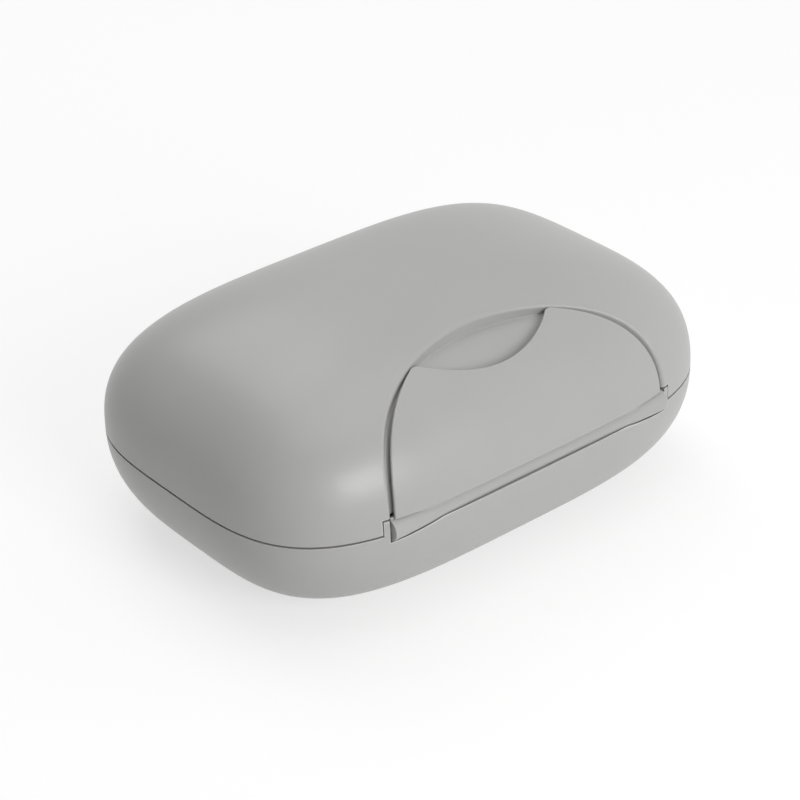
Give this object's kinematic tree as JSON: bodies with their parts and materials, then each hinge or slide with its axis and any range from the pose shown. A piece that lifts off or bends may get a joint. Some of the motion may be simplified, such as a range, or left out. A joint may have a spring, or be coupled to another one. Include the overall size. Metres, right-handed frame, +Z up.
{
  "type": "travel soap box",
  "caption": "Rounded hinged travel soap box with a domed lid, an arched snap latch flap with a finger scoop, a lid seal and a slotted lift-out drain tray.",
  "frame": {"origin": "centre of the flat foot under the base", "axes": "+X along the length, -Y towards the latch, +Y towards the lid's hinge, +Z up"},
  "size_m": [0.115, 0.0869, 0.0475],
  "materials": {
    "shell_polypropylene": "satin moulded polypropylene",
    "tray_polypropylene": "satin moulded polypropylene",
    "seal_silicone": "matt silicone",
    "pin_steel": "drawn stainless wire"
  },
  "bodies": {
    "base": {"base_shell": "shell_polypropylene", "latch_pin": "pin_steel", "hinge_pin_left": "pin_steel", "hinge_pin_right": "pin_steel"},
    "lid": {"lid_shell": "shell_polypropylene", "lid_seal": "seal_silicone"},
    "latch": {"latch_flap": "shell_polypropylene"},
    "tray": {"drain_tray": "tray_polypropylene"}
  },
  "joints": [
    {"name": "lid_hinge", "type": "hinge", "parent": "base", "child": "lid", "pos_m": [0, 0.04265, 0.021], "axis": [-1, 0, 0], "range_deg": [0, 104]},
    {"name": "latch_pivot", "type": "hinge", "parent": "base", "child": "latch", "pos_m": [0, -0.0389, 0.02155], "axis": [1, 0, 0], "range_deg": [0, 55]},
    {"name": "tray_lift", "type": "slide", "parent": "base", "child": "tray", "axis": [0, 0, 1], "range_m": [0, 0.017]}
  ]
}
